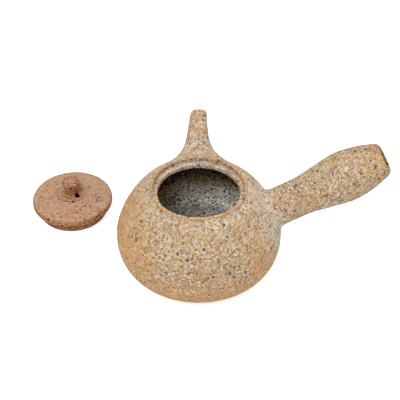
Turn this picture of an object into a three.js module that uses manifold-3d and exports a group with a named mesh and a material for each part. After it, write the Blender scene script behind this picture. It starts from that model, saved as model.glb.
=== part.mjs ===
// Side-handle teapot in speckled stoneware, with its lid lifted off and lying beside it.
// Millimetres, +Z up. The origin is the middle of the pot's flat foot, the spout points along +Y
// and the handle points to +X, turned a little towards the spout.
import * as THREE from "three";
import { mergeVertices } from "three/addons/utils/BufferGeometryUtils.js";
import Module from "manifold-3d";

const wasm = await Module();
wasm.setup();

const degrees = THREE.MathUtils.degToRad;

// Joints between pieces, and cutting
const slipGap = 0.3; // layer of slip between two pieces that are luted together
const seamEdge = 0.35; // thickness of a seam where it runs out
const cutOverrun = 5; // how far a cutting tool runs past what it cuts
const weldTolerance = 0.001; // points nearer than this are one point

// Lid
const lidRadius = 28.3;
const lidEdgeThickness = 4.9;
const lidEdgeRound = 2.6; // upper edge of the rim
const lidUnderRound = 0.9; // lower edge of the rim
const lidCrownRadius = 92; // radius of the shallow dome
const lidPadRadius = 9.6; // flat turned pad that carries the knob
const lidGrooveWidth = 1.2; // turning line round the pad
const lidGrooveDepth = 0.3;
const lidWall = 4; // thickness of the crown
const lidCollarDepth = 7.7;
const lidCollarWall = 3;
const lidCollarTaper = 1.4; // how much narrower the collar is at its lower end
const lidPlaceX = -90.4; // where it lies, from the pot's axis
const lidPlaceY = 48.3;

// Knob, an upturned cone with a low domed top
const knobHeight = 10.4;
const knobRadius = 6.1;
const knobFootRadius = 5;
const knobTopRise = 1.1; // height of the dome above the round edge
const knobEdgeRound = 1.2;

// Steam hole, pierced past the knob at a slant
const steamHoleRadius = 1.6;
const steamHoleSlant = degrees(45); // from upright
const steamHoleTurn = degrees(-43); // where it lies round the knob, from +X
const steamHoleSetback = 0.3; // from the knob's foot to the middle of the hole, which cuts into it

// Mouth of the pot, sized from the lid
const lidClearance = 1.3;
const lipThickness = 1.9;
const ledgeWidth = 2.6; // ring that the lid's rim rests on
const ledgeRound = 0.6;
const collarClearance = 1.5;
const galleryDepth = 4.2; // from the top of the lip to the ledge
const throatDepth = 4.2; // from the ledge to the underside of the shoulder

// Body
const bodyRadius = 55;
const bellyHeight = 24.6; // height of the widest place
const rimHeight = 62.9;
const lipRise = 2.2; // how far the lip stands above the shoulder
const lipFlare = 0.6; // how far outside the lip the shoulder ends
const footRadius = 30.2;
const bodyWall = 4;
const floorThickness = 4.6;
const bellyPower = 2.61; // fullness below the widest place
const shoulderPower = 1.46; // fullness above it
const innerShoulderPower = 1.6;

// Spout, thrown as a tube with a wide flared root
const spoutRise = degrees(36);
const spoutAxisHeight = 10.4; // where its axis crosses the pot's own axis
const spoutReach = 95.2; // from the pot's axis to the mouth, along its axis
const spoutTipRadius = 5.6;
const spoutMiddleReach = 82;
const spoutMiddleRadius = 7.1;
const spoutNeckReach = 73;
const spoutNeckRadius = 8.6;
const spoutFlareReach = 66;
const spoutFlareRadius = 11.2;
const spoutRootReach = 58;
const spoutRootRadius = 14.4;
const spoutTipWall = 2;
const spoutRootWall = 4.3;
const spoutBow = 0.8; // how far its middle leans to the left
const spoutSeamSpread = 6; // how far the seam spreads over the body, towards the lip
const spoutSeamSideSpread = 10; // and at its sides and below
const spoutSeamClimb = 9.5; // how far it climbs the spout
const spoutSeamFullness = 0.5; // 0 is a deep hollow, 1 is a straight slope

// Strainer, a pierced cap luted over the port behind the spout
const portRadius = 8.4; // hole in the wall behind the spout
const strainerLap = 2; // how far the cap overlaps the wall round that hole
const strainerWall = 1.8;
const strainerBulge = 3; // how far it stands into the pot
const strainerHoleRadius = 0.95;
const strainerHolePitch = 3.2;
const strainerRings = 2; // rings of holes round the middle one
const strainerFirstRing = 6; // holes in the first ring

// Handle, a hollow thrown tube with an open end
const handleRise = degrees(29.2);
const handleTurn = degrees(3.8); // from +X towards the spout
const handleAxisHeight = 12.9; // where its axis crosses the pot's own axis
const handleRootReach = 48;
const handleRootRadius = 13;
const handleWaistReach = 78;
const handleWaistRadius = 12.8;
const handleSwellReach = 93;
const handleSwellRadius = 14.9;
const handleGripReach = 108;
const handleGripRadius = 16.8;
const handleTaperReach = 122;
const handleTaperRadius = 15.1;
const handleReach = 136.8; // from the pot's axis to the open end, along its axis
const handleEndRadius = 10.5;
const handleWall = 3.8;
const handleEndWall = 2.4;
const handleSeamSpread = 2.8;
const handleSeamClimb = 3.8;
const handleSeamFullness = 0.2;

// How finely the curves are cut
const roundSteps = 48;
const tubeSteps = 32;
const smallSteps = 20;
const holeSteps = 8;
const outerSteps = 11; // from the widest place to the foot, or to the lip
const innerSteps = 8;
const crownSteps = 6;
const edgeSteps = 4;
const seamSteps = 5;
const domeSteps = 4;
const spoutSteps = 9;
const handleSteps = 14;
const outlineSteps = 40;
const searchSteps = 40;

// Sizes that follow from the ones above
const galleryRadius = lidRadius + lidClearance;
const rimRadius = galleryRadius + lipThickness;
const mouthRadius = galleryRadius - ledgeWidth;
const ledgeHeight = rimHeight - galleryDepth;
const collarRadius = mouthRadius - collarClearance;
const collarHollow = collarRadius - lidCollarWall;
const strainerRadius = portRadius + strainerLap;

const quarter = Math.PI / 2;
const turn = Math.PI * 2;
const up = new THREE.Vector3(0, 0, 1);
const mix = THREE.MathUtils.lerp;
const shares = (steps) => Array.from({ length: steps + 1 }, (_, i) => i / steps);
const ringOf = (steps, place) => shares(steps).slice(0, steps).map((share) => place(share * turn));

// A solid for cutting from a closed geometry, and a geometry from the solid that is left
function solidFrom(geometry) {
  const bare = new THREE.BufferGeometry();
  bare.setAttribute("position", geometry.getAttribute("position"));
  bare.setIndex(geometry.index);
  const merged = mergeVertices(bare, weldTolerance);
  const mesh = new wasm.Mesh({
    numProp: 3,
    vertProperties: new Float32Array(merged.attributes.position.array),
    triVerts: new Uint32Array(merged.index.array),
  });
  return new wasm.Manifold(mesh);
}

function cutAway(geometry, tools) {
  const solid = tools.reduce((rest, tool) => rest.subtract(solidFrom(tool)), solidFrom(geometry));
  const mesh = solid.getMesh();
  const cut = new THREE.BufferGeometry();
  cut.setAttribute("position", new THREE.BufferAttribute(mesh.vertProperties, 3));
  cut.setIndex(new THREE.BufferAttribute(mesh.triVerts, 1));
  cut.computeVertexNormals();
  return cut;
}

// A profile of [radius, height] points turned about +Z
function lathe(profile, steps) {
  const points = profile.map(([radius, height]) => new THREE.Vector2(Math.max(radius, 0), height));
  return new THREE.LatheGeometry(points, steps).rotateX(quarter);
}

// Points round a corner of a profile, from one angle to another
function corner(middle, radius, from, to, steps = edgeSteps) {
  return shares(steps).map((share) => {
    const angle = mix(from, to, share);
    return [middle[0] + radius * Math.cos(angle), middle[1] + radius * Math.sin(angle)];
  });
}

// The two faces of the pot's wall. Each is a belly below its widest place and a shoulder above.
const outerFace = {
  footRadius,
  footHeight: 0,
  bellyRadius: bodyRadius,
  topRadius: rimRadius + lipFlare,
  topHeight: rimHeight - lipRise,
  shoulderPower,
};
const innerFace = {
  footRadius: footRadius - bodyWall,
  footHeight: floorThickness,
  bellyRadius: bodyRadius - bodyWall,
  topRadius: mouthRadius,
  topHeight: ledgeHeight - throatDepth,
  shoulderPower: innerShoulderPower,
};

// Half of a face from its end at the foot or the top to its widest place, as a superellipse
function faceHalf(endRadius, endHeight, face, power, steps) {
  return shares(steps).map((share) => [
    mix(endRadius, face.bellyRadius, Math.sin(share * quarter) ** (2 / power)),
    mix(bellyHeight, endHeight, Math.cos(share * quarter) ** (2 / power)),
  ]);
}

function faceProfile(face, steps) {
  const belly = faceHalf(face.footRadius, face.footHeight, face, bellyPower, steps);
  const shoulder = faceHalf(face.topRadius, face.topHeight, face, face.shoulderPower, steps);
  return [...belly, ...shoulder.reverse().slice(1)];
}

function faceRadius(face, height) {
  const low = height < bellyHeight;
  const endHeight = low ? face.footHeight : face.topHeight;
  const endRadius = low ? face.footRadius : face.topRadius;
  const power = low ? bellyPower : face.shoulderPower;
  const share = Math.min(Math.abs((height - bellyHeight) / (endHeight - bellyHeight)), 1);
  return mix(endRadius, face.bellyRadius, (1 - share ** power) ** (1 / power));
}

// An arm leaves a point at a rise and at a turn from +X.
// Its side and over directions are square to it, and over leans up.
function arm(start, rise, turnFromX) {
  const flat = new THREE.Vector3(Math.cos(turnFromX), Math.sin(turnFromX), 0);
  const along = flat.multiplyScalar(Math.cos(rise)).addScaledVector(up, Math.sin(rise));
  const side = new THREE.Vector3().crossVectors(up, along).normalize();
  const over = new THREE.Vector3().crossVectors(along, side);
  return { start, along, side, over };
}

function armPoint({ start, along, side, over }, reach, radius, angle, sideways = 0) {
  return start
    .clone()
    .addScaledVector(along, reach)
    .addScaledVector(side, radius * Math.cos(angle) + sideways)
    .addScaledVector(over, radius * Math.sin(angle));
}

const spoutArm = arm(new THREE.Vector3(0, 0, spoutAxisHeight), spoutRise, quarter);
const handleArm = arm(new THREE.Vector3(0, 0, handleAxisHeight), handleRise, handleTurn);

// How far along an arm a line beside its axis comes out through a face of the wall
function wallReach(onArm, face, radius, angle) {
  let inside = 0;
  let outside = bodyRadius * 2;
  for (let i = 0; i < searchSteps; i += 1) {
    const middle = (inside + outside) / 2;
    const point = armPoint(onArm, middle, radius, angle);
    const height = Math.max(point.z, face.footHeight);
    const out = Math.hypot(point.x, point.y) > faceRadius(face, height) || height > face.topHeight;
    if (out) outside = middle;
    else inside = middle;
  }
  return inside;
}

// A closed skin over rings of points. It ends in one point at each end, or its last ring
// joins its first.
function skin(rings) {
  const starts = rings.map((_, i) => rings.slice(0, i).flat().length);
  const spans = rings[0].length === 1 ? rings.length - 1 : rings.length;
  const index = [];
  for (let i = 0; i < spans; i += 1) {
    const next = (i + 1) % rings.length;
    const count = Math.max(rings[i].length, rings[next].length);
    const at = (ring, j) => starts[ring] + (j % rings[ring].length);
    for (let j = 0; j < count; j += 1) {
      if (rings[i].length > 1) index.push(at(i, j), at(i, j + 1), at(next, j));
      if (rings[next].length > 1) index.push(at(i, j + 1), at(next, j + 1), at(next, j));
    }
  }
  const positions = rings.flat().flatMap((point) => point.toArray());
  const geometry = new THREE.BufferGeometry();
  geometry.setAttribute("position", new THREE.Float32BufferAttribute(positions, 3));
  geometry.setIndex(index);
  geometry.computeVertexNormals();
  return geometry;
}

// A smooth outline through [reach, radius] points, read as a radius at any reach
function outline(points) {
  const curve = new THREE.SplineCurve(points.map(([reach, radius]) => new THREE.Vector2(reach, radius)));
  const samples = curve.getPoints(points.length * outlineSteps);
  return (reach) => {
    const after = samples.findIndex((sample) => sample.x >= reach);
    const b = samples[after < 0 ? samples.length - 1 : Math.max(after, 1)];
    const a = samples[samples.indexOf(b) - 1];
    return mix(a.y, b.y, THREE.MathUtils.clamp((reach - a.x) / (b.x - a.x), 0, 1));
  };
}

// A hollow tube on an arm. Its root follows the pot's outer face, and its open end is round.
function hollowTube({ onArm, rootReach, reach, outer, inner, bow, steps }) {
  const endWall = outer(reach) - inner(reach);
  const lip = endWall / 2;
  const ring = (at, radius) => ringOf(tubeSteps, (angle) => armPoint(onArm, at, radius, angle, bow(at)));
  const root = (radius) =>
    ringOf(tubeSteps, (angle) => {
      const seat = wallReach(onArm, outerFace, radius, angle) + slipGap;
      return armPoint(onArm, seat, radius, angle, bow(rootReach));
    });
  const seats = ringOf(tubeSteps, (angle) => wallReach(onArm, outerFace, outer(rootReach), angle));
  const firstReach = Math.max(...seats) + endWall;
  const stations = shares(steps).map((share) => mix(firstReach, reach - lip, share));
  const end = shares(edgeSteps * 2).map((share) => {
    const angle = share * Math.PI;
    return ring(reach - lip + lip * Math.sin(angle), inner(reach) + lip + lip * Math.cos(angle));
  });
  return skin([
    root(outer(rootReach)),
    ...stations.map((at) => ring(at, outer(at))),
    ...end.slice(1, -1),
    ...stations.reverse().map((at) => ring(at, inner(at))),
    root(inner(rootReach)),
  ]);
}

// A coil of clay worked into the corner between a tube and the body
function seamCoil({ onArm, rootReach, outer, bow, spread, climb, fullness }) {
  const near = outer(rootReach) + slipGap;
  const section = (angle) => {
    const far = near + spread(angle);
    const seat = (radius) => wallReach(onArm, outerFace, radius, angle) + slipGap;
    const top = seat(near) + climb;
    const head = [top, outer(top) + slipGap + seamEdge];
    const foot = [seat(far) + seamEdge, far];
    const root = [seat(near) + seamEdge, near + seamEdge];
    const bend = [0, 1].map((k) => mix(root[k], (head[k] + foot[k]) / 2, fullness));
    const hollow = shares(seamSteps).map((share) =>
      [0, 1].map((k) => mix(mix(foot[k], bend[k], share), mix(bend[k], head[k], share), share)),
    );
    const inside = shares(seamSteps).map((share) => {
      const at = mix(top, seat(near), share);
      return [at, mix(outer(at) + slipGap, near, share)];
    });
    const middle = mix(near, far, 1 / 2);
    return [...hollow, ...inside, [seat(middle), middle], [seat(far), far]];
  };
  const sections = ringOf(tubeSteps, section);
  const rings = sections[0].map((_, i) =>
    sections.map((points, j) => {
      const [at, radius] = points[i];
      return armPoint(onArm, at, radius, (j / tubeSteps) * turn, bow(at));
    }),
  );
  return skin(rings);
}

// A plain round bar along an arm, for cutting holes
function bar(onArm, radius, from, to, steps) {
  const end = (reach) => ringOf(steps, (angle) => armPoint(onArm, reach, radius, angle));
  return skin([[armPoint(onArm, from, 0, 0)], end(from), end(to), [armPoint(onArm, to, 0, 0)]]);
}

// The thrown bowl, with its lip, its gallery for the lid and the port behind the spout
function potBody() {
  const lip = lipThickness / 2;
  const profile = [
    [0, 0],
    ...faceProfile(outerFace, outerSteps),
    [rimRadius + lipFlare / 4, outerFace.topHeight + lipFlare / 4],
    ...corner([galleryRadius + lip, rimHeight - lip], lip, 0, Math.PI),
    [galleryRadius, ledgeHeight],
    ...corner([mouthRadius + ledgeRound, ledgeHeight - ledgeRound], ledgeRound, quarter, Math.PI),
    ...faceProfile(innerFace, innerSteps).reverse(),
    [0, floorThickness],
  ];
  const from = wallReach(spoutArm, innerFace, 0, 0) - cutOverrun;
  const to = wallReach(spoutArm, outerFace, 0, 0) + cutOverrun;
  return cutAway(lathe(profile, roundSteps), [bar(spoutArm, portRadius, from, to, smallSteps)]);
}

const spoutOuter = outline([
  [spoutRootReach, spoutRootRadius],
  [spoutFlareReach, spoutFlareRadius],
  [spoutNeckReach, spoutNeckRadius],
  [spoutMiddleReach, spoutMiddleRadius],
  [spoutReach, spoutTipRadius],
]);
const spoutLength = spoutReach - spoutRootReach;
const spoutShare = (at) => THREE.MathUtils.clamp((at - spoutRootReach) / spoutLength, 0, 1);
const spoutTube = {
  onArm: spoutArm,
  rootReach: spoutRootReach,
  reach: spoutReach,
  outer: spoutOuter,
  inner: (at) => spoutOuter(at) - mix(spoutRootWall, spoutTipWall, spoutShare(at)),
  bow: (at) => spoutBow * Math.sin(spoutShare(at) * Math.PI),
  steps: spoutSteps,
};

const handleOuter = outline([
  [handleRootReach, handleRootRadius],
  [handleWaistReach, handleWaistRadius],
  [handleSwellReach, handleSwellRadius],
  [handleGripReach, handleGripRadius],
  [handleTaperReach, handleTaperRadius],
  [handleReach, handleEndRadius],
]);
const handleShare = (at) => Math.max(at - handleGripReach, 0) / (handleReach - handleGripReach);
const handleTube = {
  onArm: handleArm,
  rootReach: handleRootReach,
  reach: handleReach,
  outer: handleOuter,
  inner: (at) => handleOuter(at) - mix(handleWall, handleEndWall, handleShare(at)),
  bow: () => 0,
  steps: handleSteps,
};

const spoutSeam = {
  spread: (angle) => mix(spoutSeamSideSpread, spoutSeamSpread, Math.max(Math.sin(angle), 0) ** 2),
  climb: spoutSeamClimb,
  fullness: spoutSeamFullness,
};
const handleSeam = {
  spread: () => handleSeamSpread,
  climb: handleSeamClimb,
  fullness: handleSeamFullness,
};

// Middle of each hole in the strainer, as [radius, angle] round the spout's axis
function strainerHoles() {
  const rings = shares(strainerRings).slice(1).map((_, i) => i + 1);
  const ringHoles = (ring) =>
    ringOf(ring * strainerFirstRing, (angle) => [ring * strainerHolePitch, angle]);
  return [[0, 0], ...rings.flatMap(ringHoles)];
}

function strainer() {
  const hollowRadius = strainerRadius - strainerWall;
  const seat = (radius, angle) => wallReach(spoutArm, innerFace, radius, angle) - slipGap;
  const dome = (radius, bulge) =>
    shares(domeSteps).slice(0, -1).map((share) => {
      const at = radius * Math.cos(share * quarter);
      const sunk = bulge * Math.sin(share * quarter);
      return ringOf(tubeSteps, (angle) => armPoint(spoutArm, seat(at, angle) - sunk, at, angle));
    });
  const top = (bulge) => [armPoint(spoutArm, seat(0, 0) - bulge, 0, 0)];
  const shell = skin([
    top(strainerBulge),
    ...dome(strainerRadius, strainerBulge).reverse(),
    ...dome(hollowRadius, strainerBulge - strainerWall),
    top(strainerBulge - strainerWall),
  ]);
  const from = seat(0, 0) - strainerBulge - cutOverrun;
  const tools = strainerHoles().map(([radius, angle]) => {
    const start = armPoint(spoutArm, 0, radius, angle);
    return bar({ ...spoutArm, start }, strainerHoleRadius, from, seat(0, 0) + cutOverrun, holeSteps);
  });
  return cutAway(shell, tools);
}

// The lid's height 0 is the face that rests on the ledge. Its dome is tangent to its round edge.
const lidEdgeMiddle = [lidRadius - lidEdgeRound, lidEdgeThickness - lidEdgeRound];
const domeToEdge = lidCrownRadius - lidEdgeRound;
const domeMiddle = lidEdgeMiddle[1] - Math.sqrt(domeToEdge ** 2 - lidEdgeMiddle[0] ** 2);
const domeAngle = Math.acos(lidEdgeMiddle[0] / domeToEdge);
const grooveAngle = Math.acos((lidPadRadius + lidGrooveWidth) / lidCrownRadius);
const padHeight = domeMiddle + Math.sqrt(lidCrownRadius ** 2 - lidPadRadius ** 2);

function steamHole() {
  const offset = knobFootRadius + steamHoleSetback;
  const place = new THREE.Vector3(Math.cos(steamHoleTurn), Math.sin(steamHoleTurn), 0).setLength(offset);
  const holeArm = arm(place.addScaledVector(up, padHeight), quarter - steamHoleSlant, steamHoleTurn);
  return bar(holeArm, steamHoleRadius, -lidWall - cutOverrun, cutOverrun, smallSteps);
}

function lidDisc() {
  const under = lidRadius - lidUnderRound;
  const profile = [
    [0, padHeight - lidWall],
    [lidPadRadius, padHeight - lidWall],
    [collarHollow, 0],
    ...corner([under, lidUnderRound], lidUnderRound, -quarter, 0),
    ...corner(lidEdgeMiddle, lidEdgeRound, 0, domeAngle),
    ...corner([0, domeMiddle], lidCrownRadius, domeAngle, grooveAngle, crownSteps).slice(1),
    [lidPadRadius + lidGrooveWidth / 2, padHeight - lidGrooveDepth],
    [lidPadRadius, padHeight],
    [0, padHeight],
  ];
  return cutAway(lathe(profile, roundSteps), [steamHole()]);
}

function lidCollar() {
  const lowerRadius = collarRadius - lidCollarTaper;
  const round = lidCollarWall / 4;
  const profile = [
    [collarHollow, -slipGap],
    [lowerRadius - lidCollarWall + round, -lidCollarDepth],
    [lowerRadius - round, -lidCollarDepth],
    [lowerRadius, round - lidCollarDepth],
    [collarRadius, -slipGap],
    [collarHollow, -slipGap],
  ];
  return lathe(profile, roundSteps);
}

function lidKnob() {
  const foot = padHeight + slipGap;
  const top = padHeight + knobHeight;
  const edge = [knobRadius - knobEdgeRound, top - knobTopRise - knobEdgeRound];
  const dome = shares(domeSteps).map((share) => [
    mix(edge[0], 0, share),
    top - knobTopRise + knobTopRise * Math.sin(share * quarter),
  ]);
  const side = [[0, foot], [knobFootRadius, foot], ...corner(edge, knobEdgeRound, 0, quarter)];
  return cutAway(lathe([...side, ...dome.slice(1)], tubeSteps), [steamHole()]);
}

// Matt unglazed stoneware: buff for the pot, redder for the lid, grey where the fire didn't reach
const buffClay = new THREE.MeshStandardMaterial({ color: 0xbfa17f, roughness: 0.85, metalness: 0 });
const brownClay = new THREE.MeshStandardMaterial({ color: 0xb18c70, roughness: 0.85, metalness: 0 });
const greyClay = new THREE.MeshStandardMaterial({ color: 0x89867f, roughness: 0.85, metalness: 0 });

function piece(name, geometry, material) {
  const mesh = new THREE.Mesh(geometry, material.clone());
  mesh.name = name;
  return mesh;
}

const pot = new THREE.Group();
pot.add(
  piece("pot_body", potBody(), buffClay),
  piece("spout", hollowTube(spoutTube), buffClay),
  piece("spout_seam", seamCoil({ ...spoutTube, ...spoutSeam }), buffClay),
  piece("strainer", strainer(), greyClay),
  piece("handle", hollowTube(handleTube), buffClay),
  piece("handle_seam", seamCoil({ ...handleTube, ...handleSeam }), buffClay),
);

const lid = new THREE.Group();
lid.add(
  piece("lid_disc", lidDisc(), brownClay),
  piece("lid_collar", lidCollar(), brownClay),
  piece("lid_knob", lidKnob(), brownClay),
);
lid.position.set(lidPlaceX, lidPlaceY, lidCollarDepth);

const teapot = new THREE.Group();
teapot.add(pot, lid);

export default teapot;
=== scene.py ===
"""Dresses a side-handle teapot in speckled stoneware, its lid lying beside it.

Each piece is drawn ring by ring from a disc of clay, as on a wheel. The spout, the handle and
the seams round their roots are then seated on the bowl. Sizes are in metres, in the frame that is
loaded first.
"""

import math

import bpy
from bpy.props import FloatProperty, FloatVectorProperty, IntProperty, PointerProperty
from bpy.types import Operator, Panel, PropertyGroup
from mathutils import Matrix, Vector


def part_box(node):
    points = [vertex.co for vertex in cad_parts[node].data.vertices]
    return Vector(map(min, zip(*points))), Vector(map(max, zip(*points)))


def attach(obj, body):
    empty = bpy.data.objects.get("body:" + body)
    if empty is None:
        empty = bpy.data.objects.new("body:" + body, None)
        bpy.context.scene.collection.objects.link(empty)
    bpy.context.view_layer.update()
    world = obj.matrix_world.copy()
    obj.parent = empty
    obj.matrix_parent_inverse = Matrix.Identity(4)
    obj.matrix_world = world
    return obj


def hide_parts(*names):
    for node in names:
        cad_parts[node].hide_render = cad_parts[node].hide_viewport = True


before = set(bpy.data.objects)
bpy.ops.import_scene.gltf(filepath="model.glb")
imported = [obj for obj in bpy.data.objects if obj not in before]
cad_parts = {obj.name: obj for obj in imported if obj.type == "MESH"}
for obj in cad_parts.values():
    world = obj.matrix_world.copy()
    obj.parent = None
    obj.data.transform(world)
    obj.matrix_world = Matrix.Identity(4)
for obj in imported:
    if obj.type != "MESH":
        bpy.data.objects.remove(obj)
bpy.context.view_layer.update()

bl_info = {
    "name": "Side-Handle Teapot",
    "version": (1, 0, 0),
    "blender": (4, 5, 0),
    "location": "3D Viewport > Sidebar > Teapot",
    "description": "Throws and joins the pieces of a stoneware teapot with a side handle",
    "category": "Add Mesh",
}

MM = 0.001
UP = Vector((0, 0, 1))
QUARTER = math.pi / 2
TURN = math.pi * 2

BOWL_LOW, BOWL_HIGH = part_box("pot_body")
LID_LOW, LID_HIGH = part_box("lid_disc")
COLLAR_LOW, COLLAR_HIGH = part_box("lid_collar")
KNOB_LOW, KNOB_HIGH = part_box("lid_knob")


def size(name, description, default):
    """A length that can be set, in metres."""
    return FloatProperty(name=name, description=description, default=default, min=0, unit="LENGTH")


def sizes(name, description, defaults):
    """A row of lengths that can be set, given in millimetres."""
    metres = [value * MM for value in defaults]
    return FloatVectorProperty(
        name=name, description=description, default=metres, size=len(metres), unit="LENGTH"
    )


def angle(name, description, degrees):
    turn = math.radians(degrees)
    return FloatProperty(name=name, description=description, default=turn, unit="ROTATION")


def share(name, description, default):
    return FloatProperty(
        name=name, description=description, default=default, min=0, subtype="FACTOR"
    )


def colour(name, description, default):
    """A colour that can be set, given as it looks on a screen, on the sRGB curve."""
    linear = [((value / 255 + 0.055) / 1.055) ** 2.4 for value in default]
    return FloatVectorProperty(
        name=name, description=description, default=linear, size=3, min=0, max=1, subtype="COLOR"
    )


def group(name, rows, **defaults):
    """A group of properties, from rows of kind and description that groups share."""
    properties = {
        key: kind(key.replace("_", " ").capitalize(), description, defaults[key])
        for key, (kind, description) in rows.items()
    }
    return type(name, (PropertyGroup,), {"__annotations__": properties})


class BowlSizes(PropertyGroup):
    radius: size("Radius", "Half the width at its widest", (BOWL_HIGH.x - BOWL_LOW.x) / 2)
    belly_height: size("Belly height", "Height of the widest place", 24.6 * MM)
    rim_height: size("Rim height", "Height of the lip", BOWL_HIGH.z)
    lip_rise: size("Lip rise", "How far the lip stands above the shoulder", 2.2 * MM)
    lip_flare: size("Lip flare", "How far outside the lip the shoulder ends", 0.6 * MM)
    lip_thickness: size("Lip thickness", "Thickness of the rounded lip", 1.9 * MM)
    foot_radius: size("Foot radius", "Radius of the flat foot", 30.2 * MM)
    wall: size("Wall", "Thickness of the thrown wall", 4 * MM)
    floor: size("Floor", "Thickness of the floor", 4.6 * MM)
    gallery_radius: size("Gallery radius", "Radius of the recess for the lid", 29.6 * MM)
    gallery_depth: size("Gallery depth", "Depth of the recess for the lid", 4.2 * MM)
    ledge_width: size("Ledge width", "Width of the ring that carries the lid", 2.6 * MM)
    ledge_round: size("Ledge round", "Rounding of the ledge's inner edge", 0.9 * MM)
    throat_depth: size("Throat depth", "From the ledge to the underside of the shoulder", 4.2 * MM)
    port_radius: size("Port radius", "Radius of the hole behind the spout", 8.4 * MM)
    belly_power: share("Belly fullness", "Fullness of the wall below its widest place", 2.61)
    shoulder_power: share("Shoulder fullness", "Fullness of the wall above it", 1.46)
    inner_shoulder_power: share("Inner shoulder fullness", "The same on the inside", 1.6)
    sides: IntProperty(name="Sides", description="Corners in each ring", default=112, min=24)


TUBE_ROWS = {
    "rise": (angle, "How steeply the tube rises"),
    "heading": (angle, "Where it points, from the right"),
    "axis_height": (size, "Where its axis crosses the bowl's"),
    "reaches": (sizes, "Places along its axis"),
    "radii": (sizes, "Radius at each place"),
    "root_wall": (size, "Thickness of the wall at the root"),
    "tip_wall": (size, "Thickness of the wall at the open end"),
    "bow": (size, "How far its middle leans to its left"),
    "seam_spread": (size, "How far the seam spreads towards the lip"),
    "seam_side_spread": (size, "How far it spreads at its sides and below"),
    "seam_climb": (size, "How far the seam climbs the tube"),
    "seam_fullness": (share, "How much the seam fills the corner"),
}
SpoutSizes = group(
    "SpoutSizes",
    TUBE_ROWS,
    rise=36,
    heading=90,
    axis_height=10.4 * MM,
    reaches=[58, 66, 73, 82, 93, 95.2],
    radii=[14.4, 11.2, 8.6, 7.1, 5.85, 5.2],
    root_wall=4.3 * MM,
    tip_wall=2 * MM,
    bow=0.8 * MM,
    seam_spread=7.5 * MM,
    seam_side_spread=15 * MM,
    seam_climb=12 * MM,
    seam_fullness=1.25,
)
HandleSizes = group(
    "HandleSizes",
    TUBE_ROWS,
    rise=29.2,
    heading=3.8,
    axis_height=12.9 * MM,
    reaches=[48, 78, 93, 108, 122, 133, 136.8],
    radii=[13, 12.8, 14.9, 16.8, 15.1, 11.9, 10],
    root_wall=3.8 * MM,
    tip_wall=2.4 * MM,
    bow=0,
    seam_spread=5.5 * MM,
    seam_side_spread=5.5 * MM,
    seam_climb=6.5 * MM,
    seam_fullness=0.3,
)


class LidSizes(PropertyGroup):
    radius: size("Radius", "Half the width of the lid", (LID_HIGH.x - LID_LOW.x) / 2)
    edge_thickness: size("Edge thickness", "Height of the rounded edge", 4.9 * MM)
    edge_round: size("Edge round", "Rounding of the upper edge", 2.6 * MM)
    under_round: size("Under round", "Rounding of the lower edge", 0.9 * MM)
    crown_radius: size("Crown radius", "Radius of the shallow dome", 92 * MM)
    pad_radius: size("Pad radius", "Radius of the turned pad under the knob", 9.6 * MM)
    groove_width: size("Groove width", "Width of the turning line round the pad", 1.2 * MM)
    groove_depth: size("Groove depth", "Depth of that line", 0.14 * MM)
    wall: size("Wall", "Thickness of the crown", 4 * MM)
    collar_wall: size("Collar wall", "Thickness of the collar", 3 * MM)
    collar_taper: size("Collar taper", "How much narrower the collar is below", 1.4 * MM)
    knob_foot_radius: size("Knob foot radius", "Radius of the knob where it meets the pad", 5 * MM)
    knob_edge_round: size("Knob edge round", "Rounding of the knob's upper edge", 0.8 * MM)
    knob_top_rise: size("Knob top rise", "Height of the dome on the knob", 0.5 * MM)
    knob_rise: size("Knob rise", "How much taller it is than in the frame", 0.5 * MM)
    ridge_pitch: size("Ridge pitch", "From one turning ridge on the knob to the next", 2.8 * MM)
    ridge_depth: size("Ridge depth", "How far a turning ridge stands out", 0.3 * MM)
    hole_radius: size("Hole radius", "Radius of the steam hole", 1.6 * MM)
    hole_slant: angle("Hole slant", "How far the steam hole leans from upright", 45)
    hole_heading: angle("Hole heading", "Where it lies round the knob, from the right", -43)
    hole_setback: size("Hole setback", "From the knob's foot to the middle of the hole", 0.3 * MM)
    sides: IntProperty(name="Sides", description="Corners in each ring", default=96, min=24)


CLAY_ROWS = {
    "cream": (colour, "Pale grains"),
    "sand": (colour, "Light grains"),
    "tan": (colour, "The body of the clay"),
    "ash": (colour, "Grey grains"),
    "rust": (colour, "Warm grains"),
    "brown": (colour, "Dark grains"),
    "iron": (colour, "Iron specks"),
    # The black of painted shade in the steam hole and high inside the bowl, and of burnt specks
    "soot": (colour, "Inside of holes and burnt specks"),
    "toast": (colour, "Edges that the fire coloured"),
    "smoke": (colour, "Tint where smoke greyed it"),
    # The burn tint darkens burnt places and also paints shade under the lid, in grooves and inside
    # the bowl and handle
    "burn": (colour, "Tint where the fire darkened it"),
    "coarse": (size, "Width of a coarse grain"),
    "fine": (size, "Width of a fine grain"),
    "speck": (size, "Distance between places for large specks"),
    "speckled": (share, "Share of those places that have a speck"),
    "small_speck": (size, "Distance between places for small specks"),
}
PotClay = group(
    "PotClay",
    CLAY_ROWS,
    cream=(221, 210, 192),
    sand=(206, 184, 143),
    tan=(187, 155, 104),
    ash=(155, 147, 138),
    rust=(169, 107, 46),
    brown=(72, 52, 42),
    iron=(76, 88, 104),
    soot=(34, 24, 16),
    toast=(203, 141, 66),
    smoke=(188, 221, 255),
    burn=(202, 164, 116),
    coarse=1.08 * MM,
    fine=0.72 * MM,
    speck=3.3 * MM,
    speckled=0.46,
    small_speck=2.2 * MM,
)
LidClay = group(
    "LidClay",
    CLAY_ROWS,
    cream=(200, 174, 144),
    sand=(194, 157, 122),
    tan=(182, 143, 106),
    ash=(158, 136, 132),
    rust=(182, 120, 68),
    brown=(138, 104, 88),
    iron=(84, 97, 114),
    soot=(14, 10, 6),
    toast=(196, 136, 84),
    smoke=(235, 235, 240),
    burn=(192, 140, 84),
    coarse=1.15 * MM,
    fine=0.7 * MM,
    speck=3.3 * MM,
    speckled=0.55,
    small_speck=2.0 * MM,
)


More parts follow.
